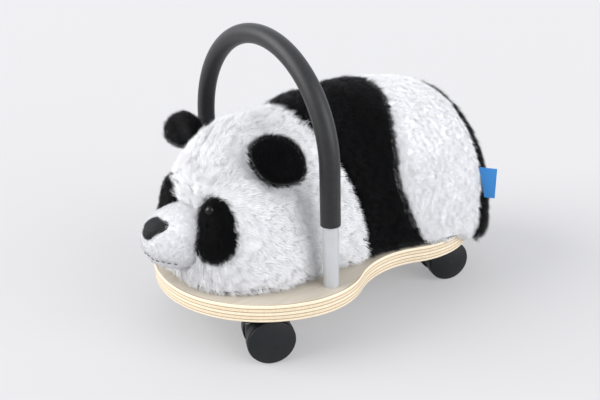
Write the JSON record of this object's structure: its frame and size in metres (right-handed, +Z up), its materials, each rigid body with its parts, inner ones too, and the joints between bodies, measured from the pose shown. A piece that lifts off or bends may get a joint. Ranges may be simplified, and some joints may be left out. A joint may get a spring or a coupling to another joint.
{
  "type": "ride-on toy",
  "caption": "Child's ride-on panda: padded furry body on a figure-of-eight plywood board, bent hoop handle with foam grip, and twin-wheel swivel casters.",
  "frame": {"origin": "on the floor, midway between the muzzle and the rump, on the middle line", "axes": "+Y towards the rump (the panda looks along -Y), +X to the panda's left, +Z up"},
  "size_m": [0.26, 0.4401, 0.32],
  "materials": {
    "birch_plywood": "clear satin lacquer over birch veneer, edges show the plies",
    "satin_tube": "satin silver powder coat",
    "foam_grip": "closed-cell foam sleeve with a fine satin skin",
    "black_nylon": "moulded",
    "wheel_nylon": "moulded dark grey nylon, satin",
    "zinc_steel": "bright zinc plate",
    "black_steel": "black powder coat",
    "white_fur": "long soft pile",
    "black_fur": "long soft pile",
    "white_short_pile": "short velour pile",
    "black_short_pile": "short velour pile",
    "black_bead": "polished",
    "blue_ribbon": "woven ribbon, bare",
    "filling": "soft foam and fibre",
    "base_fabric": "hardboard with black fabric turned over its edge"
  },
  "bodies": {
    "chassis": {"base_board": "birch_plywood", "base_panel": "base_fabric", "body_bolts": "zinc_steel", "body_tee_nuts": "zinc_steel", "body_washers": "zinc_steel", "caster_screws": "zinc_steel", "ear_left": "black_fur", "ear_right": "black_fur", "eye_bead_left": "black_bead", "eye_bead_right": "black_bead", "eye_lock_washers": "zinc_steel", "eye_patch_left": "black_fur", "eye_patch_right": "black_fur", "front_left_caster_kingpin": "zinc_steel", "front_left_caster_plate": "black_steel", "front_right_caster_kingpin": "zinc_steel", "front_right_caster_plate": "black_steel", "handle_bolts": "zinc_steel", "handle_grip": "foam_grip", "handle_inserts": "black_nylon", "handle_tube": "satin_tube", "handle_washers": "zinc_steel", "head_cover": "white_fur", "muzzle": "white_short_pile", "nose": "black_short_pile", "rear_band": "white_fur", "rear_left_caster_kingpin": "zinc_steel", "rear_left_caster_plate": "black_steel", "rear_panel": "black_fur", "rear_right_caster_kingpin": "zinc_steel", "rear_right_caster_plate": "black_steel", "seam_tag": "blue_ribbon", "seat_core": "filling", "shoulder_band": "black_fur"},
    "front_left_swivel": {"front_left_caster_hood": "wheel_nylon", "front_left_caster_axle": "zinc_steel", "front_left_caster_thrust_washer": "zinc_steel"},
    "front_left_outer_wheel": {"front_left_caster_outer_wheel": "wheel_nylon"},
    "front_left_inner_wheel": {"front_left_caster_inner_wheel": "wheel_nylon"},
    "front_right_swivel": {"front_right_caster_hood": "wheel_nylon", "front_right_caster_axle": "zinc_steel", "front_right_caster_thrust_washer": "zinc_steel"},
    "front_right_outer_wheel": {"front_right_caster_outer_wheel": "wheel_nylon"},
    "front_right_inner_wheel": {"front_right_caster_inner_wheel": "wheel_nylon"},
    "rear_left_swivel": {"rear_left_caster_hood": "wheel_nylon", "rear_left_caster_axle": "zinc_steel", "rear_left_caster_thrust_washer": "zinc_steel"},
    "rear_left_outer_wheel": {"rear_left_caster_outer_wheel": "wheel_nylon"},
    "rear_left_inner_wheel": {"rear_left_caster_inner_wheel": "wheel_nylon"},
    "rear_right_swivel": {"rear_right_caster_hood": "wheel_nylon", "rear_right_caster_axle": "zinc_steel", "rear_right_caster_thrust_washer": "zinc_steel"},
    "rear_right_outer_wheel": {"rear_right_caster_outer_wheel": "wheel_nylon"},
    "rear_right_inner_wheel": {"rear_right_caster_inner_wheel": "wheel_nylon"}
  },
  "joints": [
    {"name": "front_left_swivel_turn", "type": "hinge", "parent": "chassis", "child": "front_left_swivel", "pos_m": [0.0715, -0.1426, 0.056], "axis": [0, 0, 1], "continuous": true},
    {"name": "front_left_outer_wheel_roll", "type": "hinge", "parent": "front_left_swivel", "child": "front_left_outer_wheel", "pos_m": [0.07788, -0.12793, 0.025], "axis": [0.9171, -0.3987, 0], "continuous": true},
    {"name": "front_left_inner_wheel_roll", "type": "hinge", "parent": "front_left_swivel", "child": "front_left_inner_wheel", "pos_m": [0.07788, -0.12793, 0.025], "axis": [0.9171, -0.3987, 0], "continuous": true},
    {"name": "front_right_swivel_turn", "type": "hinge", "parent": "chassis", "child": "front_right_swivel", "pos_m": [-0.0715, -0.1426, 0.056], "axis": [0, 0, 1], "continuous": true},
    {"name": "front_right_outer_wheel_roll", "type": "hinge", "parent": "front_right_swivel", "child": "front_right_outer_wheel", "pos_m": [-0.06629, -0.12747, 0.025], "axis": [0.9455, -0.3256, 0], "continuous": true},
    {"name": "front_right_inner_wheel_roll", "type": "hinge", "parent": "front_right_swivel", "child": "front_right_inner_wheel", "pos_m": [-0.06629, -0.12747, 0.025], "axis": [0.9455, -0.3256, 0], "continuous": true},
    {"name": "rear_left_swivel_turn", "type": "hinge", "parent": "chassis", "child": "rear_left_swivel", "pos_m": [0.0705, 0.1204, 0.056], "axis": [0, 0, 1], "continuous": true},
    {"name": "rear_left_outer_wheel_roll", "type": "hinge", "parent": "rear_left_swivel", "child": "rear_left_outer_wheel", "pos_m": [0.0761, 0.13539, 0.025], "axis": [0.9367, -0.3502, 0], "continuous": true},
    {"name": "rear_left_inner_wheel_roll", "type": "hinge", "parent": "rear_left_swivel", "child": "rear_left_inner_wheel", "pos_m": [0.0761, 0.13539, 0.025], "axis": [0.9367, -0.3502, 0], "continuous": true},
    {"name": "rear_right_swivel_turn", "type": "hinge", "parent": "chassis", "child": "rear_right_swivel", "pos_m": [-0.0705, 0.1204, 0.056], "axis": [0, 0, 1], "continuous": true},
    {"name": "rear_right_outer_wheel_roll", "type": "hinge", "parent": "rear_right_swivel", "child": "rear_right_outer_wheel", "pos_m": [-0.06374, 0.1349, 0.025], "axis": [0.9063, -0.4226, 0], "continuous": true},
    {"name": "rear_right_inner_wheel_roll", "type": "hinge", "parent": "rear_right_swivel", "child": "rear_right_inner_wheel", "pos_m": [-0.06374, 0.1349, 0.025], "axis": [0.9063, -0.4226, 0], "continuous": true}
  ]
}
